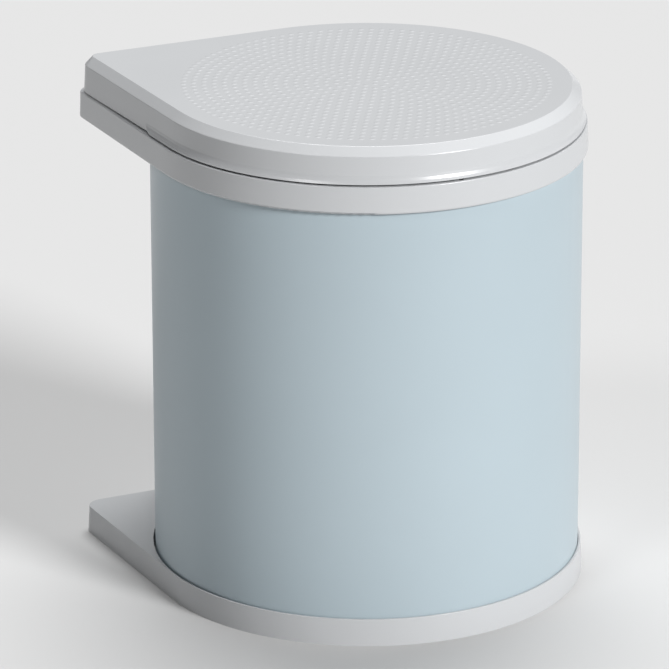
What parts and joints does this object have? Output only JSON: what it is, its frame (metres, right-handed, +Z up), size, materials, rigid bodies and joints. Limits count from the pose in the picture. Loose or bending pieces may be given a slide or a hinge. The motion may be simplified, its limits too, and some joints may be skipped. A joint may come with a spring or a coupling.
{
  "type": "built-in trash can",
  "caption": "Round steel kitchen bin that swings out of a cupboard on a corner pivot, with a cam-lifted lid and lift-out bucket.",
  "frame": {"origin": "on the drum's axis at the level of the cupboard floor", "axes": "+Z up along the drum's axis, +Y towards the cupboard wall that the bracket is screwed to, -X towards the cupboard door"},
  "size_m": [0.2848, 0.283, 0.3255],
  "materials": {
    "housing_plastic": "satin",
    "drum_coat": "satin",
    "bracket_steel": "satin",
    "bright_steel": "polished",
    "bearing_plastic": "gloss",
    "black_rubber": "matte",
    "bucket_plastic": "satin"
  },
  "bodies": {
    "bracket": {"wall_bracket": "bracket_steel", "lower_pivot_pin": "bright_steel", "upper_pivot_pin": "bright_steel", "lid_cam": "bearing_plastic", "cam_screw": "bright_steel", "drum_buffers": "black_rubber"},
    "bin": {"base_plate": "housing_plastic", "lower_bush": "bearing_plastic", "drum_sleeve": "drum_coat", "base_screws": "bright_steel", "frame_ring": "housing_plastic", "upper_bush": "bearing_plastic", "frame_screws": "bright_steel", "lid_bumpers": "black_rubber", "lid_hinge_pin": "bright_steel", "hinge_pin_caps": "bearing_plastic", "inner_bucket": "bucket_plastic"},
    "lid": {"lid_shell": "housing_plastic", "lid_hinge_bracket": "bracket_steel", "lid_bracket_screws": "bright_steel", "lid_follower": "bearing_plastic", "follower_screws": "bright_steel"},
    "bail": {"bail_wire": "bright_steel", "bail_grip": "bucket_plastic"}
  },
  "joints": [
    {"name": "bin_swing", "type": "hinge", "parent": "bracket", "child": "bin", "pos_m": [-0.12544, 0.1205, 0.15], "axis": [0, 0, -1], "range_deg": [0, 90]},
    {"name": "lid_lift", "type": "hinge", "parent": "bin", "child": "lid", "pos_m": [-0.077, 0.129, 0.312], "axis": [-1, 0, 0], "range_deg": [0, 60]},
    {"name": "bail_swing", "type": "hinge", "parent": "bin", "child": "bail", "pos_m": [0, 0, 0.3008], "axis": [-1, 0, 0], "range_deg": [0, 90]}
  ],
  "couplings": [
    {"joint": "lid_lift", "follows": "bin_swing", "ratio": 0.6666},
    {"joint": "bail_swing", "follows": "bin_swing", "ratio": 1}
  ]
}
